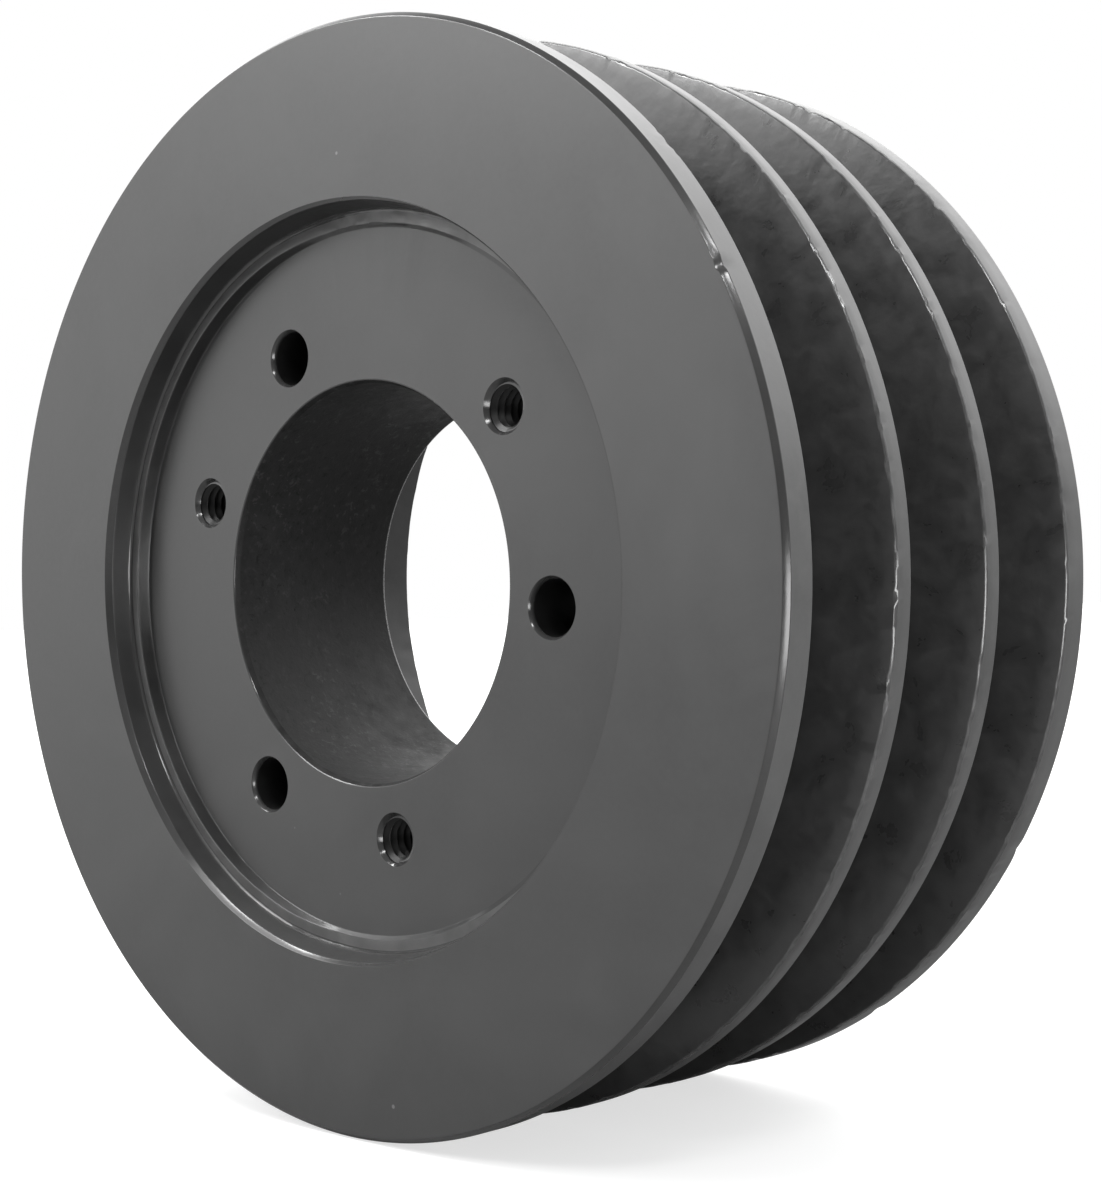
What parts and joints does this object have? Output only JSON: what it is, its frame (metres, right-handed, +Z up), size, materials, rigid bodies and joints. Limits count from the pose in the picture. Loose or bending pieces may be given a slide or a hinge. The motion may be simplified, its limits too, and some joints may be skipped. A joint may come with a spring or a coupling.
{
  "type": "v belt pulley",
  "caption": "Grooved cast-iron V-belt pulley with recessed front, taper bore for a split bushing, screw holes around it and a deep rear pocket.",
  "frame": {"origin": "middle of the pulley on its axis, halfway between the two rim faces", "axes": "Y along the pulley's axis; -Y is the outward side of the front, with the shallow recess and the countersunk screw holes; +Z up"},
  "size_m": [0.146, 0.0636, 0.146],
  "materials": {
    "cast_iron_dark": "thin dark semi-gloss coat over turned and as-cast grey iron"
  },
  "bodies": {
    "root": {"sheave_casting": "cast_iron_dark"}
  },
  "joints": []
}
